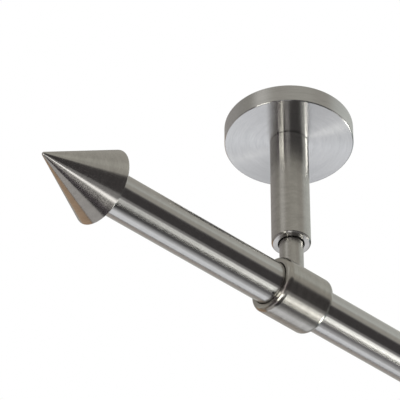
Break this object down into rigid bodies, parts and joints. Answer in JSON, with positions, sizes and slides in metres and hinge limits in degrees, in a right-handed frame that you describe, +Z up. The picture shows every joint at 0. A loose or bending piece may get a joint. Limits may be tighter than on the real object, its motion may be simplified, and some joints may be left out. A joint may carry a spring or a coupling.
{
  "type": "curtain rod",
  "caption": "Ceiling-mounted round curtain rod with cone finials, carried in rings on height-adjustable posts with round ceiling covers.",
  "frame": {"origin": "centre of the left bracket's ceiling face, in the plane of the ceiling", "axes": "+Z up towards the ceiling, +X along the rod to the right bracket, -Y towards the room"},
  "size_m": [1.0676, 0.06, 0.1185],
  "materials": {
    "satin_steel": "brushed around the turned pieces, satin",
    "zinc_plate": "zinc plated, dull bright",
    "black_steel": "black oxide",
    "light_alloy": "turned, plain",
    "rubber": "matte black"
  },
  "bodies": {
    "ceiling_mounts": {"left_mounting_plate": "zinc_plate", "left_ceiling_cover": "satin_steel", "left_post_stud": "zinc_plate", "left_post": "satin_steel", "right_mounting_plate": "zinc_plate", "right_ceiling_cover": "satin_steel", "right_post_stud": "zinc_plate", "right_post": "satin_steel"},
    "left_hanger": {"left_stem": "satin_steel", "left_stem_screw": "zinc_plate", "left_ring": "satin_steel"},
    "right_hanger": {"right_stem": "satin_steel", "right_stem_screw": "zinc_plate", "right_ring": "satin_steel"},
    "rod": {"rod_tube": "satin_steel"},
    "left_finial": {"left_finial_cone": "satin_steel", "left_finial_plug": "light_alloy", "left_finial_screw": "zinc_plate", "left_finial_rubber_rings": "rubber"},
    "right_finial": {"right_finial_cone": "satin_steel", "right_finial_plug": "light_alloy", "right_finial_screw": "zinc_plate", "right_finial_rubber_rings": "rubber"},
    "left_height_screw": {"left_height_grub_screw": "black_steel"},
    "right_height_screw": {"right_height_grub_screw": "black_steel"},
    "left_rod_screw": {"left_ring_grub_screw": "black_steel"},
    "right_rod_screw": {"right_ring_grub_screw": "black_steel"}
  },
  "joints": [
    {"name": "left_height_adjust", "type": "slide", "parent": "ceiling_mounts", "child": "left_hanger", "axis": [0, 0, 1], "range_m": [-0.015, 0.015]},
    {"name": "right_height_adjust", "type": "slide", "parent": "ceiling_mounts", "child": "right_hanger", "axis": [0, 0, 1], "range_m": [-0.015, 0.015]},
    {"name": "rod_shift", "type": "slide", "parent": "left_hanger", "child": "rod", "axis": [1, 0, 0], "range_m": [-0.095, 0.095]},
    {"name": "left_finial_pull", "type": "slide", "parent": "rod", "child": "left_finial", "axis": [-1, 0, 0], "range_m": [0, 0.03]},
    {"name": "right_finial_pull", "type": "slide", "parent": "rod", "child": "right_finial", "axis": [1, 0, 0], "range_m": [0, 0.03]},
    {"name": "left_height_screw_release", "type": "slide", "parent": "ceiling_mounts", "child": "left_height_screw", "axis": [0, 1, 0], "range_m": [0, 0.0021]},
    {"name": "right_height_screw_release", "type": "slide", "parent": "ceiling_mounts", "child": "right_height_screw", "axis": [0, 1, 0], "range_m": [0, 0.0021]},
    {"name": "left_rod_screw_release", "type": "slide", "parent": "left_hanger", "child": "left_rod_screw", "axis": [0, 1, 0], "range_m": [0, 0.0021]},
    {"name": "right_rod_screw_release", "type": "slide", "parent": "right_hanger", "child": "right_rod_screw", "axis": [0, 1, 0], "range_m": [0, 0.0021]}
  ],
  "couplings": [
    {"joint": "right_height_adjust", "follows": "left_height_adjust", "ratio": 1}
  ]
}
